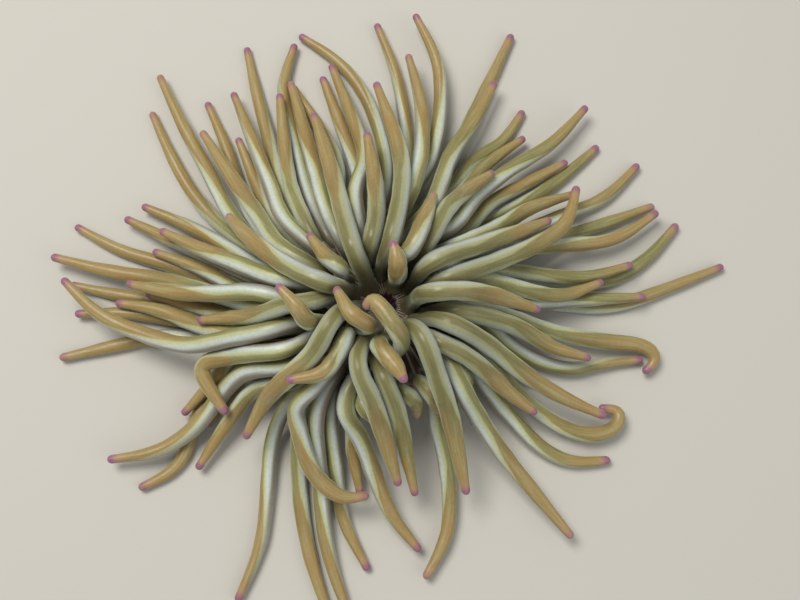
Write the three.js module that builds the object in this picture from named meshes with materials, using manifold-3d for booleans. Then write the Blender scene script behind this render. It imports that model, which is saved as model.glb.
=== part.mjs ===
// A golden sea anemone, life size: millimetres, +Z up, the floor at z = 0 and the middle of its base at
// the origin. East is +X and north is +Y. Ninety-six tentacles grow from the oral disc in five cycles.
import * as THREE from "three";
import { mergeVertices } from "three/addons/utils/BufferGeometryUtils.js";
import Module from "manifold-3d";

// ---- driving sizes, mm ----
const GAP = 0.3; // the space left between two neighbouring pieces
const BASE_RADIUS = 26;
const BASE_THICKNESS = 3;
const COLLAR_RADIUS = 28;
const COLLAR_HEIGHT = 16.7;
const DISC_RADIUS = 18;
const DISC_HEIGHT = 22.6;
const RIM_RADIUS = 29.5;
const RIM_HEIGHT = 24.5;
const MOUTH_RADIUS = 4.6;
const MOUTH_SQUEEZE = 0.28; // the mouth is this much narrower across than along
const SKEW = new THREE.Vector2(-4, -2); // how far the rim's middle lies from the mouth
const SECTORS = 24;
const SECTOR_DEG = 360 / SECTORS;
const INNER_TURN_DEG = 5;
const TIP_CAP = 1.2;
const MOST_LEAN = 0.9; // how far a tentacle's second point may stand sideways of its foot
const OUTER_FOOT_HEIGHT = 22.4; // outer feet start inside the rim, and stand clear of it here:
const SECOND_HEIGHTS = { 4: 31, 5: 27.4 };
// An onlooker leans over the animal from the south. A course is given by the place on the floor
// that each stretch hides from there, and a raised stretch stands on the line to the onlooker.
const ONLOOKER = new THREE.Vector3(4.3, -74, 350.6);

// Each cycle: root ring radius, root thickness (radius), swollen radius, height and plan distance of
// the knee, length of the fall after it, height of the far end, sides and segments of its solid.
const CYCLES = {
  1: { ring: 9, root: 2.6, swell: 3.2, knee: 45, kneeAt: 13, fall: 34, end: 8, sides: 5, segments: 7 },
  2: { ring: 11.5, root: 2.6, swell: 3.1, knee: 42, kneeAt: 13, fall: 32, end: 7, sides: 5, segments: 7 },
  3: { ring: 15, root: 2.3, swell: 3, knee: 38, kneeAt: 12, fall: 28, end: 5.5, sides: 5, segments: 7 },
  4: { ring: 21.2, root: 1.7, swell: 2.9, knee: 33, kneeAt: 9, fall: 24, end: 3.6, sides: 5, segments: 6 },
  5: { ring: 26.6, root: 1.5, swell: 2.7, knee: 29, kneeAt: 6, fall: 17, end: 2.8, sides: 5, segments: 6 },
};
const INNER_CYCLE_ORDER = [1, 3, 2, 3];
const TIP_RADIUS = 1.4;

// ---- the courses ----
// One row for each tentacle: plan points from the base outwards (x, y), the last one the tip.
// lift raises or lowers it against its cycle, end is the height of a tip that is held up, and curl is
// true where the tip curls round.
const way = (points, lift = 0, end = null, curl = false) => ({ points, lift, end, curl });

// The 24 inner tentacles, anticlockwise from the east.
const INNER = [
  way([12, 10, 18, 12.5, 33, 11, 53, 4.5], 4),
  way([36, 21, 52.5, 27.5, 64, 34.5, 69, 49], 5),
  way([26, 22, 43, 28.5, 59, 35.5], 2),
  way([16, 28, 22, 39, 38, 54.5], 2),
  way([4.5, 17.5, 2, 28], 0, 50),
  way([9, 24, 14, 33, 18, 45], 10),
  way([2.5, 28, 6.5, 47, 5, 62, -4, 89.5], -2),
  way([-4, 22, -3, 36, -4.5, 51, -7.5, 69], 2),
  way([-12.5, 29, -16, 42, -28, 78]),
  way([-15, 11, -29, 28.5], 0, 30),
  way([-28, 12, -36, 21, -57, 38]),
  way([-31, -3, -39, 1.5, -51, -1.5, -66, -2], -1),
  way([-23, -7.5, -29, -11, -38, -19.5, -49, -40], -2),
  way([-21, -6, -25, -2.5, -30, 3, -37, 10.5], 8, 44),
  way([-13, -10, -14.5, -5, -17.5, 1, -22, 10], 4, 38),
  way([-15, 0, -19, -6, -26, -14.5, -36.5, -17], 9, 34),
  way([-9.5, -12, -5.5, -26, 3.5, -56.5]),
  way([-5, -10.5, 1.5, -29, 8.5, -60]),
  way([2, -11.5, 6.5, -21.5], 0, 44),
  way([-6, 1.5, -11, 10, -9.5, 3.5], 0, 50),
  way([14, -12, 20, -27, 27, -60.5]),
  way([13, -3, 21, -4, 29, -13, 52, -32], 6),
  way([26, -4.5, 56, -25.5, 75, -34.5]),
  way([31, 1, 42, -0.5, 56, -9.5, 70.5, -14], 2),
];

// The outer tentacles, sector by sector, anticlockwise from the east.
const OUTER = [
  [
    way([40, -7.5, 54, -15.7, 68, -18.6, 79.5, -15.3, 89, -15]),
    way([42, 1, 61, -5.5, 84.5, -9, 92.5, -9.5, 96.8, -13, 96, -17.8, 91.5, -18.6], 0, null, true),
    way([62, 7, 91, 8.5]),
  ],
  [
    way([36, 10.5, 74, 3.5, 98, 10, 121, 19], -2),
    way([30, 15.5, 46, 11.5, 62, 8, 76, 13], 2),
    way([42, 16, 63, 13.5, 81, 14.5, 96, 24, 105, 34.5], -2),
  ],
  [
    way([43, 18, 70, 15.5, 87, 20], 4),
    way([42, 20, 63, 25, 84, 28, 98, 37.5]),
    way([40, 21, 56, 27.5, 82, 36.5, 96.5, 42], -2),
  ],
  [
    way([30, 25, 63, 38, 81, 46, 92, 57.5], -1),
    way([25.5, 25, 50, 40.5, 67.5, 46.5], 3),
    way([21, 28, 34, 41, 65.5, 58.5]),
  ],
  [
    way([24, 29, 36, 37.5, 55, 47.5, 77, 66], -2),
    way([20.5, 26.5, 33, 47, 62, 67, 73.5, 80]),
    way([19, 40, 35, 58.5, 49, 69], 1),
  ],
  [
    way([18, 42, 32.5, 61, 45, 69.5, 50, 79], -2),
    way([15.5, 36, 22, 59, 32, 74.5, 40, 90], -1),
    way([14, 43, 30, 73.5, 47, 110.5], -6),
  ],
  [
    way([8, 37, 18, 73.5, 20.5, 92, 10.5, 118.5], 6),
    way([4, 33, 12.5, 60, 12.5, 82, 8, 101], 2),
    way([6, 40, 7.5, 66, 2.5, 97, -4, 114.5], -2),
  ],
  [
    way([0.5, 39, -1.5, 68, -8, 86, -19, 100.5, -32.5, 110]),
    way([-5.5, 40, -8, 62, -21, 97.5], -2),
    way([-9, 35, -13, 55, -26, 92.5]),
  ],
  [
    way([-13, 42, -18, 61.5, -35, 89.5], -2),
    way([-20, 31, -25.5, 50, -37, 90.5], 1),
    way([-26.5, 35, -35.5, 69, -40, 89, -36, 106]),
  ],
  [
    way([-30.5, 30, -37, 47, -42, 84.5], 3),
    way([-31, 32, -39, 52, -50, 88, -54, 105], -2),
    way([-33, 34, -43.5, 55, -57, 86.5], -2),
    way([-27, 18, -46, 45, -56, 68]),
  ],
  [
    way([-35.5, 23.5, -44, 34, -67, 83]),
    way([-35, 21, -56, 49, -69.5, 69.5]),
    way([-41, 24, -50, 32, -77, 75, -86, 93.5]),
    way([-51, 27, -70.5, 44, -83, 65, -89, 78]),
  ],
  [
    way([-45, 21.5, -66, 33, -88.5, 43], 1),
    way([-49, 18.5, -81, 32.5], 3),
    way([-51, 18, -78, 28, -95.5, 36.5], -1),
    way([-55, 11, -83, 21, -101, 26.5, -114, 34], -1),
  ],
  [
    way([-52, 10.5, -68, 19.5, -84, 25], 2),
    way([-55, 8.5, -77, 14, -104, 18.5, -120.5, 23]),
    way([-56, 7.5, -80, 9.3, -92, 12], 2),
    way([-60, 5, -86, 6.5, -114, 12], -2),
  ],
  [
    way([-47, 3.5, -70.5, 5, -85.5, 9.5], 2),
    way([-53, -8, -71, -10.5, -89, -5, -105, 2.5, -116, 13.5], 5),
    way([-50, -8, -67, -2.5, -80.5, 3.5, -96, 6], 1),
    way([-50, -7, -67, -3, -90, 1, -111, 1], -2),
  ],
  [
    way([-54, -7, -79, -5, -100.5, -9.5, -115.5, -13], -2),
    way([-51, -9.5, -61, -12, -67, -14, -66, -18, -57, -31.5], 5, null, true),
    way([-47, -10, -55, -13, -63, -24.5, -71, -33]),
    way([-37, -10, -47.5, -16, -57, -27, -65, -36]),
  ],
  [
    way([-50, -12, -60, -22, -66, -36.5, -71, -51.5, -78, -59.5, -84, -59.5], -1),
    way([-52, -17, -61, -31.5, -69, -40, -81, -47, -95.5, -49], -2),
    way([-41, -18, -57, -37, -65.5, -51]),
    way([-35, -22, -41, -49, -42, -74, -50, -96], -1),
  ],
  [
    way([-30, -31, -31, -52, -27, -80, -19, -103], -2),
    way([-30.5, -30, -29.5, -41, -24, -55.5, -13.5, -63.5, -7.5, -62], 5, null, true),
    way([-22, -22, -24, -38, -23, -57, -20.5, -80, -12, -103], -1),
    way([-18, -24, -18, -50, -15, -70, -7, -86], -2),
  ],
  [
    way([-14, -23, -14.5, -40, -11, -60.5], 1),
    way([-12.5, -20, -6, -42, 1, -65, 11.5, -79], -1),
    way([-3.5, -32, -2.5, -41], -2),
  ],
  [way([4, -30, 4.5, -38], -2)],
  [way([9.5, -28, 10.5, -34], -2)],
  [way([15.5, -27, 17.5, -33], -2)],
  [
    way([11, -19, 15, -31, 20, -54, 20.5, -73, 13, -88.5]),
    way([19.5, -24, 22.5, -33], -2),
  ],
  [
    way([26, -26, 30, -37], -2),
    way([22, -21.5, 31, -37, 61.5, -75]),
    way([29.5, -17, 40.5, -31, 52, -44.5, 65, -51, 76, -50]),
  ],
  [
    way(
      [34, -14, 46, -27, 59, -37.5, 69, -41.5, 77.5, -40.5, 83.3, -36, 81.5, -31, 75.5, -32],
      2,
      null,
      true,
    ),
    way([36, -12, 45, -18, 52, -22], -2),
  ],
];

// Where the tentacles of a sector stand in it, by how many there are: cycle, turn (deg), ring shift.
const SECTOR_PLACES = {
  1: [[5, 0, 0]],
  2: [[5, -3.4, 0], [5, 3.4, 0]],
  3: [[5, -3.4, 0], [4, 0, 0], [5, 3.4, 0]],
  4: [[5, -3.4, 0], [4, -2.2, -1.5], [4, 2.2, 1.3], [5, 3.4, 0]],
};

// ---- small helpers ----
const clamp01 = (v) => Math.min(1, Math.max(0, v));
const smooth = (v) => clamp01(v) ** 2 * (3 - 2 * clamp01(v));
const rad = THREE.MathUtils.degToRad;

// The plan place of a point on the ring of a radius: the rings shift towards the rim's middle.
function onRing(radius, deg) {
  const pull = radius / RIM_RADIUS;
  return new THREE.Vector2(
    radius * Math.cos(rad(deg)) + SKEW.x * pull,
    radius * Math.sin(rad(deg)) + SKEW.y * pull,
  );
}

// The height of the oral disc: a shallow funnel.
const discHeight = (radius) => DISC_HEIGHT - 1.6 * (1 - smooth((radius - MOUTH_RADIUS) / 12));

// The place at a height that hides a floor place from the onlooker.
const sighted = (x, y, z) => [
  x + ((ONLOOKER.x - x) * z) / ONLOOKER.z,
  y + ((ONLOOKER.y - y) * z) / ONLOOKER.z,
];

// The floor place that a raised point hides.
function hidden(x, y, z) {
  const share = z / ONLOOKER.z;
  return [(x - ONLOOKER.x * share) / (1 - share), (y - ONLOOKER.y * share) / (1 - share)];
}

// A tentacle's radius at a fraction of its length: a pinched root, a swell and a blunt thin end.
function thickness(cycle, f) {
  const { root, swell } = CYCLES[cycle];
  const body = swell + (TIP_RADIUS - swell) * clamp01((f - 0.62) / 0.38) ** 2;
  return root + (body - root) * smooth(f / 0.3);
}

// The height that a cycle keeps at a plan distance from its root.
function carriage(cycle, start, distance, row) {
  const { knee, kneeAt, fall, end } = CYCLES[cycle];
  const top = Math.max(knee, row.end ?? 0) + Math.max(0, row.lift) * 0.5;
  const far = row.end ?? end + Math.max(0, row.lift) * 0.4;
  if (distance < kneeAt) return start + (top - start) * Math.sin((Math.PI / 2) * (distance / kneeAt));
  const drop = Math.exp(-(((distance - kneeAt) / fall) ** 1.3));
  return far + (top - far) * drop + row.lift * smooth((distance - kneeAt) / 12) * 0.6;
}

// ---- the chains: each tentacle as a row of points, before it settles ----
// A smooth walk through the floor places of a course, cut where its segments meet.
function chainOf(name, cycle, foot, second, row) {
  const { segments } = CYCLES[cycle];
  const floorPlaces = [hidden(...foot), hidden(...second)];
  for (let i = 0; i < row.points.length; i += 2) floorPlaces.push([row.points[i], row.points[i + 1]]);
  const curve = new THREE.CatmullRomCurve3(
    floorPlaces.map(([x, y]) => new THREE.Vector3(x, y, 0)),
    false,
    "centripetal",
  );
  curve.arcLengthDivisions = 160;
  const reach = curve.getLength();
  const extra = row.curl ? 3.5 : row.points.length > 8 ? 1 : row.points.length > 6 ? 0 : -0.5;
  const spread = row.curl ? 0.8 : 1.12;
  const count = Math.max(4, Math.round((segments + extra) * Math.min(1, 0.3 + reach / 110)));
  const first = Math.hypot(floorPlaces[1][0] - floorPlaces[0][0], floorPlaces[1][1] - floorPlaces[0][1]);
  const chain = { name, cycle, floor: [floorPlaces[0], floorPlaces[1]], height: [foot[2], second[2]] };
  for (let i = 1; i <= count - 1; i++) {
    const share = (i / (count - 1)) ** spread;
    const distance = first + (reach - first) * share;
    const spot = curve.getPointAt(Math.min(1, distance / reach));
    chain.floor.push([spot.x, spot.y]);
    chain.height.push(Math.max(2.6, carriage(cycle, second[2], distance, row)));
  }
  chain.points = chain.floor.map(([x, y], i) => [...sighted(x, y, chain.height[i]), chain.height[i]]);
  chain.points[0] = [...foot];
  chain.points[1] = [...second];
  chain.radii = chain.points.map((_, i) => thickness(cycle, i / (chain.points.length - 1)));
  return chain;
}

// The place of a tentacle's second point: outwards from its foot, leaning towards its course.
function secondPlace(foot, deg, step, height, row) {
  const [x, y] = sighted(row.points[0], row.points[1], height);
  const out = new THREE.Vector2(Math.cos(rad(deg)), Math.sin(rad(deg)));
  const aim = new THREE.Vector2(x - foot.x, y - foot.y).normalize();
  const side = new THREE.Vector2(-out.y, out.x);
  const lean = THREE.MathUtils.clamp(aim.dot(side) * step * 0.6, -MOST_LEAN, MOST_LEAN);
  return [foot.x + out.x * step + side.x * lean, foot.y + out.y * step + side.y * lean, height];
}

function innerChain(row, i) {
  const cycle = INNER_CYCLE_ORDER[i % INNER_CYCLE_ORDER.length];
  const { ring } = CYCLES[cycle];
  const deg = INNER_TURN_DEG + i * (360 / INNER.length);
  const foot = onRing(ring, deg);
  const base = discHeight(ring + CYCLES[cycle].root) + GAP;
  const second = secondPlace(foot, deg, 1.4, base + 5, row);
  return chainOf("tentacle_inner_" + (i + 1), cycle, [foot.x, foot.y, base], second, row);
}

function outerChains(rows, sector) {
  return rows.map((row, k) => {
    const [cycle, turn, shift] = SECTOR_PLACES[rows.length][k];
    const ring = CYCLES[cycle].ring + shift;
    const deg = sector * SECTOR_DEG + turn;
    const foot = onRing(ring, deg);
    const second = secondPlace(foot, deg, 2.4, SECOND_HEIGHTS[cycle], row);
    return chainOf("crown_" + (sector + 1), cycle, [foot.x, foot.y, OUTER_FOOT_HEIGHT], second, row);
  });
}

// ---- settling: the chains push each other apart, keep off the floor and hold to their courses ----
const ROUNDS = 640;
const FREE_ROUNDS = 240; // the rounds at the end in which the courses pull back only weakly
const LAST_ROUNDS = 70; // the last of them, in which the chains only push apart
const REACH = 9;
const OVER_FEET = 4.5; // cycles 1 to 4 pass this far over the rim, clear of the feet of cycle 5
const SPARE = 0.12; // pushed this much further apart than the gap
const PUSH_ASIDE = 0.7; // the share of a push that goes sideways
const PUSH_UP = 1.15; // and the share that goes up or down
const CALM = 0.75; // a point with many neighbours takes this share of all their pushes
const EVENING = 0.22; // how fast a chain's bends even out
const WEAK_HOLD = 0.15;
const HOLD_PLAN = 0.1; // how fast a chain goes back to its course in plan
const HOLD_HEIGHT = 0.03; // and to its height
const FLAT_SIDE = 0.87; // how far below its middle a tube with few sides reaches, in radii
const RIM_FALL = 2.2; // how steeply the body falls away outside the rim
const THINNING_ROUNDS = 6;
const LEAST_THINNING = 0.8;

function flatten(chains) {
  const flat = { pos: [], aim: [], floor: [], rad: [], over: [], chain: [], index: [], last: [] };
  chains.forEach((chain, c) =>
    chain.points.forEach((p, i) => {
      flat.pos.push([...p]);
      flat.aim.push(chain.height[i]);
      flat.floor.push(chain.floor[i]);
      flat.rad.push(chain.radii[i]);
      flat.over.push(chain.cycle < 5 ? OVER_FEET : 0);
      flat.chain.push(c);
      flat.index.push(i);
      flat.last.push(i === chain.points.length - 1);
    }),
  );
  return flat;
}

// The closest places of two segments, as shares of each.
function closest(p1, q1, p2, q2) {
  const d1 = [q1[0] - p1[0], q1[1] - p1[1], q1[2] - p1[2]];
  const d2 = [q2[0] - p2[0], q2[1] - p2[1], q2[2] - p2[2]];
  const r = [p1[0] - p2[0], p1[1] - p2[1], p1[2] - p2[2]];
  const dot = (a, b) => a[0] * b[0] + a[1] * b[1] + a[2] * b[2];
  const [a, e, f, c, b] = [dot(d1, d1), dot(d2, d2), dot(d2, r), dot(d1, r), dot(d1, d2)];
  const denom = a * e - b * b;
  let s = denom > 1e-9 ? clamp01((b * f - c * e) / denom) : 0.5;
  let t = (b * s + f) / e;
  if (t < 0) {
    t = 0;
    s = clamp01(-c / a);
  } else if (t > 1) {
    t = 1;
    s = clamp01((b - c) / a);
  }
  const n = [0, 1, 2].map((k) => r[k] + d1[k] * s - d2[k] * t);
  return { s, t, n, d: Math.sqrt(dot(n, n)) };
}

// Pairs of segments that come near each other; segments of one chain must lie apart along it.
function nearPairs(flat, names) {
  const segments = flat.pos.map((_, i) => i).filter((i) => !flat.last[i]);
  const mid = segments.map((i) => [0, 1, 2].map((k) => (flat.pos[i][k] + flat.pos[i + 1][k]) / 2));
  const half = segments.map(
    (i) => Math.hypot(...[0, 1, 2].map((k) => flat.pos[i][k] - flat.pos[i + 1][k])) / 2,
  );
  const pairs = [];
  for (let m = 0; m < segments.length; m++)
    for (let n = m + 1; n < segments.length; n++) {
      const [i, j] = [segments[m], segments[n]];
      const same = flat.chain[i] === flat.chain[j];
      if (same && j - i < 3) continue;
      const joined = names[flat.chain[i]] === names[flat.chain[j]];
      if (!same && joined && flat.index[i] + flat.index[j] < 3) continue;
      const far = Math.hypot(mid[m][0] - mid[n][0], mid[m][1] - mid[n][1], mid[m][2] - mid[n][2]);
      if (far < half[m] + half[n] + REACH) pairs.push([i, j]);
    }
  return pairs;
}

// How high the body stands at a plan place.
function bodyTop(x, y) {
  const out = Math.hypot(x - SKEW.x, y - SKEW.y);
  return out < RIM_RADIUS ? RIM_HEIGHT : RIM_HEIGHT - (out - RIM_RADIUS) * RIM_FALL;
}

// How thick two segments are together where they come closest.
function bothThick(thick, i, j, near) {
  const one = thick[i] + (thick[i + 1] - thick[i]) * near.s;
  return one + thick[j] + (thick[j + 1] - thick[j]) * near.t;
}

function settle(chains) {
  const names = chains.map((chain) => chain.name);
  const flat = flatten(chains);
  const { pos, aim, floor, rad: thick, over, index, last } = flat;
  let pairs = [];
  for (let round = 0; round < ROUNDS; round++) {
    if (round % 15 === 0) pairs = nearPairs(flat, names);
    const hold = round < ROUNDS - FREE_ROUNDS ? 1 : WEAK_HOLD;
    const even = round < ROUNDS - LAST_ROUNDS ? EVENING : 0;
    const move = pos.map(() => [0, 0, 0, 0]);
    for (const [i, j] of pairs) {
      const near = closest(pos[i], pos[i + 1], pos[j], pos[j + 1]);
      const want = bothThick(thick, i, j, near) + GAP + SPARE;
      if (near.d >= want) continue;
      const n = near.d > 1e-6 ? near.n.map((v) => v / near.d) : [0, 0, 1];
      const depth = (want - near.d) * 0.5;
      const weights = [1 - near.s, near.s, near.t - 1, -near.t];
      [i, i + 1, j, j + 1].forEach((p, k) => {
        if (index[p] < 2) return;
        const w = weights[k] * depth;
        move[p][0] += n[0] * w * PUSH_ASIDE;
        move[p][1] += n[1] * w * PUSH_ASIDE;
        move[p][2] += n[2] * w * PUSH_UP;
        move[p][3] += Math.abs(weights[k]);
      });
    }
    const off = pos.map((p, i) => {
      const [sx, sy] = sighted(floor[i][0], floor[i][1], p[2]);
      return [p[0] - sx, p[1] - sy, p[2] - aim[i]];
    });
    for (let i = 0; i < pos.length; i++) {
      if (index[i] < 2) continue;
      const p = pos[i];
      const share = 1 / Math.max(1, move[i][3] * CALM);
      const before = off[i - 1];
      const after = last[i] ? off[i - 1] : off[i + 1];
      for (let k = 0; k < 3; k++) {
        const level = (before[k] + after[k]) / 2 - off[i][k];
        const pull = even > 0 ? hold * (k < 2 ? HOLD_PLAN : HOLD_HEIGHT) * off[i][k] : 0;
        p[k] += move[i][k] * share + even * level - pull;
      }
      const clear = thick[i] * FLAT_SIDE + 0.02;
      p[2] = Math.max(p[2], clear, bodyTop(p[0], p[1]) + over[i] + thick[i] + GAP);
    }
  }
  // Whatever is still too close is made thinner there.
  pairs = nearPairs(flat, names);
  for (let round = 0; round < THINNING_ROUNDS; round++)
    for (const [i, j] of pairs) {
      const near = closest(pos[i], pos[i + 1], pos[j], pos[j + 1]);
      const room = (near.d - GAP * 0.5) / bothThick(thick, i, j, near);
      if (room >= 1) continue;
      for (const [p, w] of [[i, 1 - near.s], [i + 1, near.s], [j, 1 - near.t], [j + 1, near.t]])
        if (w > 0.15) thick[p] *= Math.max(LEAST_THINNING, room);
    }
  let k = 0;
  for (const chain of chains)
    chain.points.forEach((_, i) => {
      chain.points[i] = pos[k];
      chain.radii[i] = thick[k];
      k++;
    });
}

// ---- solids ----
// A faceted tube along a chain, a flat side down, with a flat foot and a blunt tip.
function tube(chain) {
  const { sides } = CYCLES[chain.cycle];
  const points = chain.points.map((p) => new THREE.Vector3(...p));
  const up = new THREE.Vector3(0, 0, 1);
  const vertices = [];
  const faces = [];
  let side = null;
  points.forEach((p, i) => {
    const ahead = points[Math.min(points.length - 1, i + 1)];
    const behind = points[Math.max(0, i - 1)];
    const tangent = i === 0 && chain.flatFoot ? up.clone() : ahead.clone().sub(behind).normalize();
    let across = new THREE.Vector3().crossVectors(up, tangent);
    if (across.length() < 0.25)
      across = side ? side.clone() : across.crossVectors(up, ahead.clone().sub(p));
    across.addScaledVector(tangent, -across.dot(tangent)).normalize();
    if (side && across.dot(side) < 0) across.negate();
    side = across;
    const lift = new THREE.Vector3().crossVectors(tangent, across);
    for (let s = 0; s < sides; s++) {
      const turn = (2 * Math.PI * (s + (sides % 2) / 4 * sides)) / sides;
      const spot = p.clone();
      spot.addScaledVector(across, Math.cos(turn) * chain.radii[i]);
      spot.addScaledVector(lift, Math.sin(turn) * chain.radii[i]);
      vertices.push(spot.x, spot.y, spot.z);
    }
  });
  const rings = points.length;
  for (let i = 0; i + 1 < rings; i++)
    for (let s = 0; s < sides; s++) {
      const [a, b] = [i * sides + s, i * sides + ((s + 1) % sides)];
      faces.push(a, b, b + sides, a, b + sides, a + sides);
    }
  for (let s = 1; s + 1 < sides; s++) faces.push(0, s + 1, s);
  const end = points[rings - 1].clone();
  end.addScaledVector(end.clone().sub(points[rings - 2]).normalize(), TIP_CAP);
  end.z = Math.max(end.z, TIP_RADIUS * 0.6);
  vertices.push(end.x, end.y, end.z);
  const last = (rings - 1) * sides;
  for (let s = 0; s < sides; s++) faces.push(last + s, last + ((s + 1) % sides), rings * sides);
  return solid(vertices, faces);
}

function solid(vertices, faces) {
  const geometry = new THREE.BufferGeometry();
  geometry.setAttribute("position", new THREE.Float32BufferAttribute(vertices, 3));
  geometry.setIndex(faces);
  return geometry;
}

// A closed profile of [radius, height] swept round the body, whole or over a sector.
// A profile that starts and ends on the axis closes there.
function swept(profile, steps, from, to, shape) {
  const whole = to - from >= 360;
  const rows = whole ? steps : steps + 1;
  const n = profile.length;
  const vertices = [];
  const faces = [];
  for (let i = 0; i < rows; i++)
    for (const [radius, z] of profile) vertices.push(...shape(radius, from + ((to - from) * i) / steps, z));
  for (let i = 0; i < steps; i++)
    for (let k = 0; k < n; k++) {
      const [a, b] = [i * n + k, i * n + ((k + 1) % n)];
      const [c, d] = [((i + 1) % rows) * n + k, ((i + 1) % rows) * n + ((k + 1) % n)];
      faces.push(a, b, c, b, d, c);
    }
  if (!whole)
    for (let k = 1; k + 1 < n; k++) {
      faces.push(0, k + 1, k);
      const end = steps * n;
      faces.push(end, end + k, end + k + 1);
    }
  return solid(vertices, faces);
}

const wasm = await Module();
wasm.setup();

function manifoldOf(geometry) {
  const bare = new THREE.BufferGeometry();
  bare.setAttribute("position", geometry.getAttribute("position"));
  bare.setIndex(geometry.index);
  const merged = mergeVertices(bare, 1e-4);
  const index = [];
  for (let i = 0; i < merged.index.count; i += 3) {
    const [a, b, c] = [0, 1, 2].map((k) => merged.index.getX(i + k));
    if (a !== b && b !== c && a !== c) index.push(a, b, c);
  }
  const vertProperties = merged.attributes.position.array;
  return new wasm.Manifold(new wasm.Mesh({ numProp: 3, vertProperties, triVerts: new Uint32Array(index) }));
}

function joined(geometries) {
  const whole = geometries.map(manifoldOf).reduce((sum, piece) => sum.add(piece));
  const mesh = whole.getMesh();
  return solid(Array.from(mesh.vertProperties), Array.from(mesh.triVerts));
}

// ---- the body ----
const BODY_STEPS = 24;
const MOUTH_STEPS = 16;

// The column's middle drifts from over the base to over the rim's middle as it rises.
function bodyShape(radius, deg, z) {
  const pull = smooth((z - 4) / 13) * 0.95;
  const [cos, sin] = [Math.cos(rad(deg)), Math.sin(rad(deg))];
  return [radius * cos + SKEW.x * pull, radius * sin + SKEW.y * pull, z];
}

function discShape(radius, deg, z) {
  const narrow = 1 - MOUTH_SQUEEZE * clamp01(1 - (radius - MOUTH_RADIUS) / 8);
  const spot = onRing(radius, deg);
  return [spot.x * narrow, spot.y, z];
}

function pedalDisc() {
  const profile = [
    [0, 0],
    [0, BASE_THICKNESS],
    [BASE_RADIUS - 0.8, BASE_THICKNESS],
    [BASE_RADIUS + 0.5, 1.1],
    [BASE_RADIUS, 0],
  ];
  return swept(profile, BODY_STEPS, 0, 360, bodyShape);
}

function column() {
  const low = BASE_THICKNESS + GAP;
  const profile = [
    [0, low],
    [0, COLLAR_HEIGHT],
    [COLLAR_RADIUS, COLLAR_HEIGHT],
    [COLLAR_RADIUS - 2.3, 15],
    [21.6, 12.2],
    [20.6, 9],
    [22.2, 6],
    [24.6, low],
  ];
  return swept(profile, BODY_STEPS, 0, 360, bodyShape);
}

function oralDisc() {
  const low = COLLAR_HEIGHT + GAP;
  const edge = DISC_RADIUS - 0.1;
  const profile = [
    [MOUTH_RADIUS, low],
    [MOUTH_RADIUS, discHeight(MOUTH_RADIUS) - 0.5],
    [MOUTH_RADIUS + 1.4, discHeight(MOUTH_RADIUS)],
    [11, discHeight(11)],
    [edge, discHeight(edge)],
    [edge, low],
  ];
  return swept(profile, BODY_STEPS, 0, 360, discShape);
}

function mouth() {
  const low = COLLAR_HEIGHT + GAP;
  const lip = MOUTH_RADIUS - 0.3;
  const profile = [
    [0, low],
    [0, 18.6],
    [1.7, 19.4],
    [3, 20.9],
    [lip, 20.3],
    [lip, low],
  ];
  return swept(profile, MOUTH_STEPS, 0, 360, discShape);
}

// One wedge of the rim, with a hair of room on either side.
function rimWedge(sector) {
  const low = COLLAR_HEIGHT + GAP;
  const inner = DISC_RADIUS + 0.15;
  const profile = [
    [inner, low],
    [inner, discHeight(inner)],
    [27.6, RIM_HEIGHT - 0.4],
    [RIM_RADIUS, 21.5],
    [RIM_RADIUS - 2.2, low],
  ];
  const room = THREE.MathUtils.radToDeg((GAP * 0.55) / DISC_RADIUS);
  const middle = sector * SECTOR_DEG;
  const shape = (radius, deg, z) => {
    const spot = onRing(radius, deg);
    return [spot.x, spot.y, z];
  };
  return swept(profile, 1, middle - SECTOR_DEG / 2 + room, middle + SECTOR_DEG / 2 - room, shape);
}

// ---- the animal ----
const flesh = new THREE.MeshStandardMaterial({ color: 0xb08e50, roughness: 0.45, metalness: 0 });
const innerFlesh = new THREE.MeshStandardMaterial({ color: 0x969a62, roughness: 0.4, metalness: 0 });
const columnFlesh = new THREE.MeshStandardMaterial({ color: 0xb9a171, roughness: 0.55, metalness: 0 });
const throat = new THREE.MeshStandardMaterial({ color: 0x4a2030, roughness: 0.4, metalness: 0 });

const anemone = new THREE.Group();
anemone.name = "sea_anemone";

function addNode(name, geometry, material) {
  geometry.computeVertexNormals();
  const mesh = new THREE.Mesh(geometry, material);
  mesh.name = name;
  anemone.add(mesh);
}

const innerChains = INNER.map(innerChain);
innerChains.forEach((chain) => (chain.flatFoot = true));
const crown = OUTER.map(outerChains);
settle([...innerChains, ...crown.flat()]);

addNode("pedal_disc", manifoldClean(pedalDisc()), columnFlesh);
addNode("column", manifoldClean(column()), columnFlesh);
addNode("oral_disc", oralDisc(), innerFlesh);
addNode("mouth", manifoldClean(mouth()), throat);
innerChains.forEach((chain) => addNode(chain.name, tube(chain), innerFlesh));
crown.forEach((chains, sector) => {
  const tentacles = joined([rimWedge(sector), ...chains.map(tube)]);
  addNode("crown_" + (sector + 1), tentacles, flesh);
});

// A solid that closes on the axis has doubled points there: they are merged.
function manifoldClean(geometry) {
  const mesh = manifoldOf(geometry).getMesh();
  return solid(Array.from(mesh.vertProperties), Array.from(mesh.triVerts));
}

export default anemone;
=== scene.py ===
"""The looks of the golden sea anemone: one skin of flesh over the whole animal, in metres."""

import math

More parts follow.
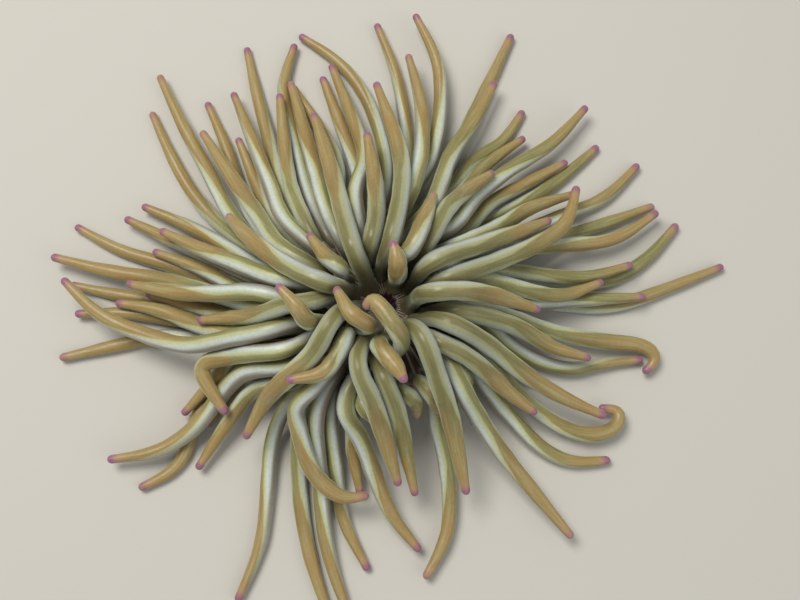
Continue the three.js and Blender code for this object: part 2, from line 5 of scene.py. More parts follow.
import bpy
import numpy as np
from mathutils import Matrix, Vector


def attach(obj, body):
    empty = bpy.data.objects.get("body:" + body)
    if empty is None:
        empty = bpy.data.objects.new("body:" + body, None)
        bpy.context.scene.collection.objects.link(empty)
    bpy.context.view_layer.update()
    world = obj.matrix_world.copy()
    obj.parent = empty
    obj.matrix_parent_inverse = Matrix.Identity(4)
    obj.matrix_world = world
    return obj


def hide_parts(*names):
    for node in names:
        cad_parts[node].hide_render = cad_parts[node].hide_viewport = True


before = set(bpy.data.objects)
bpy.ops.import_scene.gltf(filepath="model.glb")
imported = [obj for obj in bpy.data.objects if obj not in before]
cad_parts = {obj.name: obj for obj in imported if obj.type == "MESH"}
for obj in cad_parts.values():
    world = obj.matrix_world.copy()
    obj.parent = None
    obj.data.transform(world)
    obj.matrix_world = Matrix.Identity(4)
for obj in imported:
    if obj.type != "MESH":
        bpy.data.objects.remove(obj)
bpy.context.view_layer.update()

MM = 0.001

# ---- sizes of the animal, mm ----
GAP = 0.3
LEAST_HEIGHT = 0.02  # the flesh stays this far off the floor
DISC_HEIGHT = 22.6
RIM_RADIUS = 29.5
RIM_HEIGHT = 24.5
MOUTH_RADIUS = 4.6
MOUTH_SQUEEZE = 0.28
SKEW = (-4, -2)
SECTOR_DEG = 15
INNER_TURN_DEG = 5
TIP_CAP = 1.2
ONLOOKER = (4.3, -74, 350.6)
TIP_RADIUS = 1.4
MOST_LEAN = 0.9
OUTER_FOOT_HEIGHT = 22.4
SECOND_HEIGHTS = {4: 31, 5: 27.4}

CYCLES = {
    1: dict(ring=9, root=2.6, swell=3.2, knee=45, knee_at=13, fall=34, end=8, segments=7),
    2: dict(ring=11.5, root=2.6, swell=3.1, knee=42, knee_at=13, fall=32, end=7, segments=7),
    3: dict(ring=15, root=2.3, swell=3, knee=38, knee_at=12, fall=28, end=5.5, segments=7),
    4: dict(ring=21.2, root=1.7, swell=2.9, knee=33, knee_at=9, fall=24, end=3.6, segments=6),
    5: dict(ring=26.6, root=1.5, swell=2.7, knee=29, knee_at=6, fall=17, end=2.8, segments=6),
}
INNER_CYCLE_ORDER = (1, 3, 2, 3)


def way(points, lift=0, end=None, curl=False):
    """A course: plan points from base to tip, lift, the height of a tip held up, whether it curls."""
    return {"points": points, "lift": lift, "end": end, "curl": curl}


# The 24 inner tentacles, anticlockwise from the east.
INNER = [
  way([12, 10, 18, 12.5, 33, 11, 53, 4.5], 4),
  way([36, 21, 52.5, 27.5, 64, 34.5, 69, 49], 5),
  way([26, 22, 43, 28.5, 59, 35.5], 2),
  way([16, 28, 22, 39, 38, 54.5], 2),
  way([4.5, 17.5, 2, 28], 0, 50),
  way([9, 24, 14, 33, 18, 45], 10),
  way([2.5, 28, 6.5, 47, 5, 62, -4, 89.5], -2),
  way([-4, 22, -3, 36, -4.5, 51, -7.5, 69], 2),
  way([-12.5, 29, -16, 42, -28, 78]),
  way([-15, 11, -29, 28.5], 0, 30),
  way([-28, 12, -36, 21, -57, 38]),
  way([-31, -3, -39, 1.5, -51, -1.5, -66, -2], -1),
  way([-23, -7.5, -29, -11, -38, -19.5, -49, -40], -2),
  way([-21, -6, -25, -2.5, -30, 3, -37, 10.5], 8, 44),
  way([-13, -10, -14.5, -5, -17.5, 1, -22, 10], 4, 38),
  way([-15, 0, -19, -6, -26, -14.5, -36.5, -17], 9, 34),
  way([-9.5, -12, -5.5, -26, 3.5, -56.5]),
  way([-5, -10.5, 1.5, -29, 8.5, -60]),
  way([2, -11.5, 6.5, -21.5], 0, 44),
  way([-6, 1.5, -11, 10, -9.5, 3.5], 0, 50),
  way([14, -12, 20, -27, 27, -60.5]),
  way([13, -3, 21, -4, 29, -13, 52, -32], 6),
  way([26, -4.5, 56, -25.5, 75, -34.5]),
  way([31, 1, 42, -0.5, 56, -9.5, 70.5, -14], 2),
]

# The outer tentacles, sector by sector, anticlockwise from the east.
OUTER = [
  [
    way([40, -7.5, 54, -15.7, 68, -18.6, 79.5, -15.3, 89, -15]),
    way([42, 1, 61, -5.5, 84.5, -9, 92.5, -9.5, 96.8, -13, 96, -17.8, 91.5, -18.6], 0, None, True),
    way([62, 7, 91, 8.5]),
  ],
  [
    way([36, 10.5, 74, 3.5, 98, 10, 121, 19], -2),
    way([30, 15.5, 46, 11.5, 62, 8, 76, 13], 2),
    way([42, 16, 63, 13.5, 81, 14.5, 96, 24, 105, 34.5], -2),
  ],
  [
    way([43, 18, 70, 15.5, 87, 20], 4),
    way([42, 20, 63, 25, 84, 28, 98, 37.5]),
    way([40, 21, 56, 27.5, 82, 36.5, 96.5, 42], -2),
  ],
  [
    way([30, 25, 63, 38, 81, 46, 92, 57.5], -1),
    way([25.5, 25, 50, 40.5, 67.5, 46.5], 3),
    way([21, 28, 34, 41, 65.5, 58.5]),
  ],
  [
    way([24, 29, 36, 37.5, 55, 47.5, 77, 66], -2),
    way([20.5, 26.5, 33, 47, 62, 67, 73.5, 80]),
    way([19, 40, 35, 58.5, 49, 69], 1),
  ],
  [
    way([18, 42, 32.5, 61, 45, 69.5, 50, 79], -2),
    way([15.5, 36, 22, 59, 32, 74.5, 40, 90], -1),
    way([14, 43, 30, 73.5, 47, 110.5], -6),
  ],
  [
    way([8, 37, 18, 73.5, 20.5, 92, 10.5, 118.5], 6),
    way([4, 33, 12.5, 60, 12.5, 82, 8, 101], 2),
    way([6, 40, 7.5, 66, 2.5, 97, -4, 114.5], -2),
  ],
  [
    way([0.5, 39, -1.5, 68, -8, 86, -19, 100.5, -32.5, 110]),
    way([-5.5, 40, -8, 62, -21, 97.5], -2),
    way([-9, 35, -13, 55, -26, 92.5]),
  ],
  [
    way([-13, 42, -18, 61.5, -35, 89.5], -2),
    way([-20, 31, -25.5, 50, -37, 90.5], 1),
    way([-26.5, 35, -35.5, 69, -40, 89, -36, 106]),
  ],
  [
    way([-30.5, 30, -37, 47, -42, 84.5], 3),
    way([-31, 32, -39, 52, -50, 88, -54, 105], -2),
    way([-33, 34, -43.5, 55, -57, 86.5], -2),
    way([-27, 18, -46, 45, -56, 68]),
  ],
  [
    way([-35.5, 23.5, -44, 34, -67, 83]),
    way([-35, 21, -56, 49, -69.5, 69.5]),
    way([-41, 24, -50, 32, -77, 75, -86, 93.5]),
    way([-51, 27, -70.5, 44, -83, 65, -89, 78]),
  ],
  [
    way([-45, 21.5, -66, 33, -88.5, 43], 1),
    way([-49, 18.5, -81, 32.5], 3),
    way([-51, 18, -78, 28, -95.5, 36.5], -1),
    way([-55, 11, -83, 21, -101, 26.5, -114, 34], -1),
  ],
  [
    way([-52, 10.5, -68, 19.5, -84, 25], 2),
    way([-55, 8.5, -77, 14, -104, 18.5, -120.5, 23]),
    way([-56, 7.5, -80, 9.3, -92, 12], 2),
    way([-60, 5, -86, 6.5, -114, 12], -2),
  ],
  [
    way([-47, 3.5, -70.5, 5, -85.5, 9.5], 2),
    way([-53, -8, -71, -10.5, -89, -5, -105, 2.5, -116, 13.5], 5),
    way([-50, -8, -67, -2.5, -80.5, 3.5, -96, 6], 1),
    way([-50, -7, -67, -3, -90, 1, -111, 1], -2),
  ],
  [
    way([-54, -7, -79, -5, -100.5, -9.5, -115.5, -13], -2),
    way([-51, -9.5, -61, -12, -67, -14, -66, -18, -57, -31.5], 5, None, True),
    way([-47, -10, -55, -13, -63, -24.5, -71, -33]),
    way([-37, -10, -47.5, -16, -57, -27, -65, -36]),
  ],
  [
    way([-50, -12, -60, -22, -66, -36.5, -71, -51.5, -78, -59.5, -84, -59.5], -1),
    way([-52, -17, -61, -31.5, -69, -40, -81, -47, -95.5, -49], -2),
    way([-41, -18, -57, -37, -65.5, -51]),
    way([-35, -22, -41, -49, -42, -74, -50, -96], -1),
  ],
  [
    way([-30, -31, -31, -52, -27, -80, -19, -103], -2),
    way([-30.5, -30, -29.5, -41, -24, -55.5, -13.5, -63.5, -7.5, -62], 5, None, True),
    way([-22, -22, -24, -38, -23, -57, -20.5, -80, -12, -103], -1),
    way([-18, -24, -18, -50, -15, -70, -7, -86], -2),
  ],
  [
    way([-14, -23, -14.5, -40, -11, -60.5], 1),
    way([-12.5, -20, -6, -42, 1, -65, 11.5, -79], -1),
    way([-3.5, -32, -2.5, -41], -2),
  ],
  [way([4, -30, 4.5, -38], -2)],
  [way([9.5, -28, 10.5, -34], -2)],
  [way([15.5, -27, 17.5, -33], -2)],
  [
    way([11, -19, 15, -31, 20, -54, 20.5, -73, 13, -88.5]),
    way([19.5, -24, 22.5, -33], -2),
  ],
  [
    way([26, -26, 30, -37], -2),
    way([22, -21.5, 31, -37, 61.5, -75]),
    way([29.5, -17, 40.5, -31, 52, -44.5, 65, -51, 76, -50]),
  ],
  [
    way(
      [34, -14, 46, -27, 59, -37.5, 69, -41.5, 77.5, -40.5, 83.3, -36, 81.5, -31, 75.5, -32],
      2,
      None,
      True,
    ),
    way([36, -12, 45, -18, 52, -22], -2),
  ],
]

# Where the tentacles of a sector stand in it, by how many there are: cycle, turn (deg), ring shift.
SECTOR_PLACES = {
    1: [(5, 0, 0)],
    2: [(5, -3.4, 0), (5, 3.4, 0)],
    3: [(5, -3.4, 0), (4, 0, 0), (5, 3.4, 0)],
    4: [(5, -3.4, 0), (4, -2.2, -1.5), (4, 2.2, 1.3), (5, 3.4, 0)],
}


# ---- the chains, laid as in the frame ----
def clamp01(v):
    return min(1.0, max(0.0, v))


def smooth(v):
    v = clamp01(v)
    return v * v * (3 - 2 * v)


def on_ring(radius, deg):
    pull = radius / RIM_RADIUS
    turn = math.radians(deg)
    return (radius * math.cos(turn) + SKEW[0] * pull, radius * math.sin(turn) + SKEW[1] * pull)


def disc_height(radius):
    """How high the disc stands at a distance from the mouth."""
    return DISC_HEIGHT - 1.6 * (1 - smooth((radius - MOUTH_RADIUS) / 12))


def sighted(x, y, z):
    """Where a point at height z lies, so that it hides the floor place x, y from the onlooker."""
    return (x + (ONLOOKER[0] - x) * z / ONLOOKER[2], y + (ONLOOKER[1] - y) * z / ONLOOKER[2])


def hidden(x, y, z):
    """The floor place that a point at height z hides from the onlooker."""
    share = z / ONLOOKER[2]
    return ((x - ONLOOKER[0] * share) / (1 - share), (y - ONLOOKER[1] * share) / (1 - share))


def thickness(cycle, f):
    """The radius of a tentacle at a share f of its length."""
    size = CYCLES[cycle]
    body = size["swell"] + (TIP_RADIUS - size["swell"]) * clamp01((f - 0.62) / 0.38) ** 2
    return size["root"] + (body - size["root"]) * smooth(f / 0.3)


def carriage(cycle, start, distance, row):
    """How high a tentacle is carried at a distance along its floor course."""
    size = CYCLES[cycle]
    top = max(size["knee"], row["end"] or 0) + max(0, row["lift"]) * 0.5
    far = row["end"] if row["end"] is not None else size["end"] + max(0, row["lift"]) * 0.4
    past = distance - size["knee_at"]
    if past < 0:
        return start + (top - start) * math.sin(math.pi / 2 * distance / size["knee_at"])
    drop = math.exp(-((past / size["fall"]) ** 1.3))
    return far + (top - far) * drop + row["lift"] * smooth(past / 12) * 0.6


def spline(points):
    """A centripetal Catmull-Rom curve through points: a function of t from 0 to 1."""
    points = [np.array(p, float) for p in points]
    first = points[0] + (points[0] - points[1])
    last = points[-1] + (points[-1] - points[-2])
    row = [first] + points + [last]
    spans = len(points) - 1

    def at(t):
        place = spans * t
        span = min(int(math.floor(place)), spans - 1)
        w = place - span
        p0, p1, p2, p3 = row[span : span + 4]
        d0, d1, d2 = (max(np.dot(b - a, b - a) ** 0.25, 0) for a, b in ((p0, p1), (p1, p2), (p2, p3)))
        d1 = d1 if d1 > 1e-4 else 1.0
        d0 = d0 if d0 > 1e-4 else d1
        d2 = d2 if d2 > 1e-4 else d1
        t1 = ((p1 - p0) / d0 - (p2 - p0) / (d0 + d1) + (p2 - p1) / d1) * d1
        t2 = ((p2 - p1) / d1 - (p3 - p1) / (d1 + d2) + (p3 - p2) / d2) * d1
        square = -3 * p1 + 3 * p2 - 2 * t1 - t2
        cube = 2 * p1 - 2 * p2 + t1 + t2
        return p1 + t1 * w + square * w * w + cube * w**3

    return at


ARC_DIVISIONS = 160


def chain_of(name, cycle, foot, second, row):
    """The chain of points and radii of one tentacle, before it is settled."""
    size = CYCLES[cycle]
    flat = row["points"]
    places = [hidden(*foot), hidden(*second)] + [tuple(flat[i : i + 2]) for i in range(0, len(flat), 2)]
    curve = spline(places)
    samples = np.array([curve(i / ARC_DIVISIONS) for i in range(ARC_DIVISIONS + 1)])
    lengths = np.concatenate([[0], np.cumsum(np.linalg.norm(np.diff(samples, axis=0), axis=1))])
    reach = lengths[-1]
    extra = 3.5 if row["curl"] else 1 if len(flat) > 8 else 0 if len(flat) > 6 else -0.5
    spread = 0.8 if row["curl"] else 1.12
    count = max(4, int(math.floor((size["segments"] + extra) * min(1, 0.3 + reach / 110) + 0.5)))
    first = math.dist(places[0], places[1])
    floor = [places[0], places[1]]
    height = [foot[2], second[2]]
    for i in range(1, count):
        share = (i / (count - 1)) ** spread
        distance = first + (reach - first) * share
        target = min(1, distance / reach) * reach
        place = np.interp(target, lengths, np.arange(ARC_DIVISIONS + 1)) / ARC_DIVISIONS
        floor.append(tuple(curve(place)))
        height.append(max(2.6, carriage(cycle, second[2], distance, row)))
    points = [sighted(x, y, z) + (z,) for (x, y), z in zip(floor, height)]
    points[0] = tuple(foot)
    points[1] = tuple(second)
    radii = [thickness(cycle, i / (len(points) - 1)) for i in range(len(points))]
    return dict(name=name, cycle=cycle, floor=floor, height=height, points=points, radii=radii)


def second_place(foot, deg, step, height, row):
    """The second point: up from the foot, outwards, leaning the way the tentacle goes."""
    x, y = sighted(row["points"][0], row["points"][1], height)
    out = np.array([math.cos(math.radians(deg)), math.sin(math.radians(deg))])
    aim = np.array([x - foot[0], y - foot[1]])
    side = np.array([-out[1], out[0]])
    lean = np.clip(np.dot(aim / np.linalg.norm(aim), side) * step * 0.6, -MOST_LEAN, MOST_LEAN)
    return (foot[0] + out[0] * step + side[0] * lean, foot[1] + out[1] * step + side[1] * lean, height)


def inner_chain(row, i):
    cycle = INNER_CYCLE_ORDER[i % len(INNER_CYCLE_ORDER)]
    ring = CYCLES[cycle]["ring"]
    deg = INNER_TURN_DEG + i * 360 / len(INNER)
    base = disc_height(ring + CYCLES[cycle]["root"]) + GAP
    foot = on_ring(ring, deg) + (base,)
    second = second_place(foot, deg, 1.4, base + 5, row)
    return chain_of("tentacle_inner_%d" % (i + 1), cycle, foot, second, row)


def outer_chains(rows, sector):
    chains = []
    for row, (cycle, turn, shift) in zip(rows, SECTOR_PLACES[len(rows)]):
        ring = CYCLES[cycle]["ring"] + shift
        deg = sector * SECTOR_DEG + turn
        foot = on_ring(ring, deg) + (OUTER_FOOT_HEIGHT,)
        second = second_place(foot, deg, 2.4, SECOND_HEIGHTS[cycle], row)
        chains.append(chain_of("crown_%d" % (sector + 1), cycle, foot, second, row))
    return chains


# ---- settling: the chains push each other apart, keep off the floor and hold to their courses ----
ROUNDS = 640
FREE_ROUNDS = 240  # the rounds at the end in which the courses pull back only weakly
LAST_ROUNDS = 70  # the last of them, in which the chains only push apart
REACH = 9
OVER_FEET = 4.5  # cycles 1 to 4 pass this far over the rim, clear of the feet of cycle 5
SPARE = 0.12  # pushed this much further apart than the gap
PUSH_ASIDE = 0.7  # the share of a push that goes sideways
PUSH_UP = 1.15  # and the share that goes up or down
CALM = 0.75  # a point with many neighbours takes this share of all their pushes
EVENING = 0.22  # how fast a chain's bends even out
WEAK_HOLD = 0.15
HOLD_PLAN = 0.1  # how fast a chain goes back to its course in plan
HOLD_HEIGHT = 0.03  # and to its height
FLAT_SIDE = 0.87  # how far below its middle a tube with few sides reaches, in radii
RIM_FALL = 2.2  # how steeply the body falls away outside the rim
THINNING_ROUNDS = 6
LEAST_THINNING = 0.8
PUSH = np.array([PUSH_ASIDE, PUSH_ASIDE, PUSH_UP])
HOLD = np.array([HOLD_PLAN, HOLD_PLAN, HOLD_HEIGHT])


def closest(p1, q1, p2, q2):
    """Where pairs of straight lengths come nearest: shares s and t, the way between, how far."""
    d1, d2, r = q1 - p1, q2 - p2, p1 - p2
    a, e, f = (d1 * d1).sum(1), (d2 * d2).sum(1), (d2 * r).sum(1)
    c, b = (d1 * r).sum(1), (d1 * d2).sum(1)
    denom = a * e - b * b
    s = np.where(denom > 1e-9, np.clip((b * f - c * e) / np.where(denom > 1e-9, denom, 1), 0, 1), 0.5)
    t = (b * s + f) / e
    s = np.where(t < 0, np.clip(-c / a, 0, 1), np.where(t > 1, np.clip((b - c) / a, 0, 1), s))
    t = np.clip(t, 0, 1)
    n = r + d1 * s[:, None] - d2 * t[:, None]
    return s, t, n, np.sqrt((n * n).sum(1))


def near_pairs(pos, chain, index, last, names):
    """Lengths of tentacle near enough to touch, apart from neighbours in one chain or wedge."""
    seg = np.nonzero(~last)[0]
    mid = (pos[seg] + pos[seg + 1]) / 2
    half = np.linalg.norm(pos[seg] - pos[seg + 1], axis=1) / 2
    far = np.linalg.norm(mid[:, None] - mid[None], axis=2)
    m, n = np.nonzero(np.triu(far < half[:, None] + half[None] + REACH, 1))
    i, j = seg[m], seg[n]
    same = chain[i] == chain[j]
    joined = names[chain[i]] == names[chain[j]]
    keep = ~(same & (j - i < 3)) & ~(~same & joined & (index[i] + index[j] < 3))
    return i[keep], j[keep]


def both_thick(thick, i, j, s, t):
    """The two radii together where two lengths of tentacle come nearest."""
    return thick[i] + (thick[i + 1] - thick[i]) * s + thick[j] + (thick[j + 1] - thick[j]) * t


def body_top(x, y):
    """How high the body stands under a point."""
    out = np.hypot(x - SKEW[0], y - SKEW[1])
    return np.where(out < RIM_RADIUS, RIM_HEIGHT, RIM_HEIGHT - (out - RIM_RADIUS) * RIM_FALL)


def settle(chains):
    """Moves the chains apart over a set number of rounds, and thins what still has no room."""
    names = np.array([chain["name"] for chain in chains])
    pos = np.array([p for chain in chains for p in chain["points"]], float)
    aim = np.array([h for chain in chains for h in chain["height"]], float)
    floor = np.array([f for chain in chains for f in chain["floor"]], float)
    thick = np.array([r for chain in chains for r in chain["radii"]], float)
    chain_id = np.array([c for c, chain in enumerate(chains) for _ in chain["points"]])
    index = np.array([i for chain in chains for i in range(len(chain["points"]))])
    last = np.append(index[1:] == 0, True)  # the next point starts a new chain
    over = np.concatenate([[OVER_FEET * (chain["cycle"] < 5)] * len(chain["points"]) for chain in chains])
    free = index >= 2
    who = np.nonzero(free)[0]
    after = np.where(last[who], who - 1, who + 1)
    for step in range(ROUNDS):
        if step % 15 == 0:
            i, j = near_pairs(pos, chain_id, index, last, names)
        hold = 1 if step < ROUNDS - FREE_ROUNDS else WEAK_HOLD
        even = EVENING if step < ROUNDS - LAST_ROUNDS else 0
        s, t, n, d = closest(pos[i], pos[i + 1], pos[j], pos[j + 1])
        want = both_thick(thick, i, j, s, t) + GAP + SPARE
        hit = d < want
        n = np.where(d[:, None] > 1e-6, n / np.maximum(d, 1e-6)[:, None], np.array([0, 0, 1.0]))
        depth = (want - d) * 0.5
        move = np.zeros((len(pos), 4))
        for place, weight in ((i, 1 - s), (i + 1, s), (j, t - 1), (j + 1, -t)):
            w = (weight * depth)[hit]
            push = n[hit] * w[:, None] * PUSH
            np.add.at(move, place[hit], np.column_stack([push, np.abs(weight[hit])]))
        seen = np.column_stack(sighted(floor[:, 0], floor[:, 1], pos[:, 2]))
        off = np.column_stack([pos[:, :2] - seen, pos[:, 2] - aim])
        share = 1 / np.maximum(1, move[who, 3] * CALM)
        level = (off[who - 1] + off[after]) / 2 - off[who]
        pull = hold * HOLD * off[who] if even > 0 else 0
        pos[who] += move[who, :3] * share[:, None] + even * level - pull
        rim = body_top(pos[who, 0], pos[who, 1]) + over[who] + thick[who] + GAP
        clear = np.maximum(thick[who] * FLAT_SIDE + LEAST_HEIGHT, rim)
        pos[who, 2] = np.maximum(pos[who, 2], clear)
    i, j = near_pairs(pos, chain_id, index, last, names)
    s, t, n, d = closest(pos[i], pos[i + 1], pos[j], pos[j + 1])
    for _ in range(THINNING_ROUNDS):
        for k in range(len(i)):
            ends = ((i[k], 1 - s[k]), (i[k] + 1, s[k]), (j[k], 1 - t[k]), (j[k] + 1, t[k]))
            total = sum(thick[p] * w for p, w in ends)
            room = (d[k] - GAP * 0.5) / total
            if room >= 1:
                continue
            for p, w in ends:
                if w > 0.15:
                    thick[p] *= max(LEAST_THINNING, room)
    k = 0
    for chain in chains:
        count = len(chain["points"])
        chain["points"] = pos[k : k + count].copy()
        chain["radii"] = thick[k : k + count].copy()
        k += count


chains = [inner_chain(row, i) for i, row in enumerate(INNER)]
chains += [chain for sector, rows in enumerate(OUTER) for chain in outer_chains(rows, sector)]
settle(chains)

# ---- the skin ----
RINGS = 44
AROUND = 16
SMOOTHINGS = 8
# How far the ochre stripe is turned from the top, least and most, degrees: inner and outer tentacles.
INNER_TWIST = (0, 45)
OUTER_TWIST = (5, 60)
TILE_COLUMNS = 24
TILE_ROWS = 4
TUBE_MAP_TOP = 0.8
MAP_PAD = 0.0012
MOST_ROLL = 40  # degrees that a stripe may turn round its tentacle from root to tip
ROOT_FLARE = 0.35  # how much wider a root is where it meets the disc, and how soon that ends
ROOT_FLARE_END = 0.05
FLATNESS = 0.03
# The rounded tip: how far out each ring is, in tip lengths, and its share of the radius.
TIP_RINGS = ((0.4, 0.93), (0.8, 0.74), (1.07, 0.45), (1.17, 0.2))
TIP_END = 1.2
rng = np.random.default_rng(7)

skin_points = []
skin_faces = []
skin_uv = []
skin_band = []
skin_kind = []


def grid_faces(start, rows, columns, uv_box, closed=True):
    """Quads of a tube or sheet of points laid row by row, with its strip of the map."""
    u0, v0, u1, v1 = uv_box
    spans = columns if closed else columns - 1
    for i in range(rows - 1):
        for s in range(spans):
            nxt = (s + 1) % columns
            a, b = start + i * columns + s, start + i * columns + nxt
            skin_faces.append((a, b, b + columns, a + columns))
            for row, step in ((i, s), (i, s + 1), (i + 1, s + 1), (i + 1, s)):
                skin_uv.append((u0 + (u1 - u0) * step / spans, v0 + (v1 - v0) * row / (rows - 1)))


def resample(chain):
    """Smooth centre points, radii, and places along the length from 0 to 1."""
    points, radii = chain["points"], chain["radii"]
    curve = spline(points)
    fine = np.array([curve(t) for t in np.linspace(0, 1, 241)])
    lengths = np.concatenate([[0], np.cumsum(np.linalg.norm(np.diff(fine, axis=0), axis=1))])
    places = np.linspace(0, 1, RINGS) ** 0.95 * lengths[-1]
    centre = np.column_stack([np.interp(places, lengths, fine[:, k]) for k in range(3)])
    for _ in range(SMOOTHINGS):
        centre[2:-1] += 0.5 * ((centre[1:-2] + centre[3:]) / 2 - centre[2:-1])
    spot = np.interp(places, lengths, np.linspace(0, len(points) - 1, 241))
    radius = np.interp(spot, np.arange(len(points)), radii)
    kernel = np.array([1, 2, 3, 2, 1]) / 9
    padded = np.concatenate([[radius[0]] * 2, radius, [radius[-1]] * 2])
    return centre, np.convolve(padded, kernel, "valid"), places / lengths[-1]


def turned_frames(centre, number):
    """Each ring's directions: along the tentacle, across it and up from it, without sudden turns."""
    step = np.gradient(centre, axis=0)
    tangents = step / np.linalg.norm(step, axis=1)[:, None]
    if number < len(INNER):
        tangents[0] = (0, 0, 1)
    frames = []
    side = None
    for i, tangent in enumerate(tangents):
        across = np.cross((0, 0, 1), tangent)
        if side is not None and (np.linalg.norm(across) < 0.25 or i < 2):
            across = side
        elif np.linalg.norm(across) < 0.25:
            across = np.cross((0, 0, 1), centre[6] - centre[0])
        across = across - tangent * np.dot(across, tangent)
        across /= np.linalg.norm(across)
        if side is not None:
            if np.dot(across, side) < 0:
                across = -across
            across = 0.5 * across + 0.5 * side
            across -= tangent * np.dot(across, tangent)
            across /= np.linalg.norm(across)
        side = across
        frames.append((tangent, across, np.cross(tangent, across)))
    return frames


def add_ring(middle, across, lift, size, look, flatness=(0, 0)):
    """One ring of points round a tentacle, held off the floor, with its place in the pattern."""
    twist, f, kind = look
    for s in range(AROUND):
        turn = 2 * math.pi * s / AROUND
        flat = 1 + flatness[0] * math.cos(2 * turn + flatness[1])
        spot = middle + (across * math.sin(-turn) + lift * math.cos(turn)) * size * flat
        spot[2] = max(spot[2], LEAST_HEIGHT)
        skin_points.append(spot)
        skin_band.append((math.cos(turn - twist), math.sin(turn - twist), f))
        skin_kind.append(kind)


def lay_tentacle(chain, number):
    """The skin of one tentacle, from its root to its rounded tip."""
    centre, radius, along = resample(chain)
    frames = turned_frames(centre, number)
    least, most = INNER_TWIST if number < len(INNER) else OUTER_TWIST
    twist = math.radians(rng.uniform(least, most)) * rng.choice((-1, 1))
    # One that folds back over itself shows its lower side: its stripe is turned to the light.
    if sum(lift[2] for _, _, lift in frames[RINGS // 3 :]) < 0:
        twist += math.pi
    roll = math.radians(rng.uniform(-MOST_ROLL, MOST_ROLL))
    fate = rng.uniform(0, 1, 2)
    wave = rng.uniform(0, 2 * math.pi, 3)
    kind = (fate[0], fate[1], chain["cycle"] / 10)
    start = len(skin_points)
    for (_, across, lift), middle, size, f in zip(frames, centre, radius, along):
        size *= 1 + 0.018 * math.sin(37 * f + wave[0]) + 0.014 * math.sin(61 * f + wave[1])
        size *= 1 + ROOT_FLARE * max(0, 1 - f / ROOT_FLARE_END) ** 2
        add_ring(middle, across, lift, size, (twist + roll * (f - 0.3), f, kind), (FLATNESS, wave[2]))
    tangent, across, lift = frames[-1]
    for out, shrink in TIP_RINGS:
        middle = centre[-1] + tangent * TIP_CAP * out
        add_ring(middle, across, lift, radius[-1] * shrink, (twist, 1.0, kind))
    column, line = number % TILE_COLUMNS, number // TILE_COLUMNS
    box = (
        column / TILE_COLUMNS + MAP_PAD,
        TUBE_MAP_TOP * line / TILE_ROWS + MAP_PAD,
        (column + 1) / TILE_COLUMNS - MAP_PAD,
        TUBE_MAP_TOP * (line + 1) / TILE_ROWS - MAP_PAD,
    )
    grid_faces(start, RINGS + len(TIP_RINGS), AROUND, box)
    end = len(skin_points)
    tip = centre[-1] + tangent * TIP_CAP * TIP_END
    skin_points.append(np.array([tip[0], tip[1], max(tip[2], 0.6)]))
    skin_band.append((1.0, 0.0, 1.0))
    skin_kind.append(kind)
    for s in range(AROUND):
        skin_faces.append((end - AROUND + s, end - AROUND + (s + 1) % AROUND, end))
        skin_uv.extend([(box[0], box[3]), (box[2], box[3]), ((box[0] + box[2]) / 2, box[3])])


for number, chain in enumerate(chains):
    lay_tentacle(chain, number)

# ---- the body's skin: one run from under the base, up the column, over the rim, to the throat ----
BODY_AROUND = 240
KIND_BODY = 0.0
# The body's outline: radius, height, and which part it is, 0 column, 1 disc and 2 throat.
BODY_OUTLINE = [
    (0.3, 0.02, 0), (24, 0.02, 0), (26.2, 0.6, 0), (26.4, 1.4, 0), (24.9, 3.2, 0), (21.4, 7.3, 0),
    (20.9, 10.3, 0), (22.7, 13.3, 0), (27.4, 17, 0), (28.9, 21.6, 0), (27.2, 23.9, 0.8), (23.5, 24, 1),
    (15, 22.4, 1), (8, 21.4, 1), (5.2, 21.3, 1.3), (3.6, 20, 2), (2, 17.8, 2), (0.2, 17.3, 2),
]
BODY_ROWS = 41
DISC_RIDGES = 48
COLUMN_RIDGES = 48


def verruca(deg, z):
    """Small warts in staggered rows up the column."""
    row = z / 2.6
    turn = deg * COLUMN_RIDGES / 360 + 0.5 * (int(row) % 2)
    across = (turn - math.floor(turn) - 0.5) * 2
    up = (row - math.floor(row) - 0.5) * 2
    return math.exp(-(across * across + up * up) * 3)


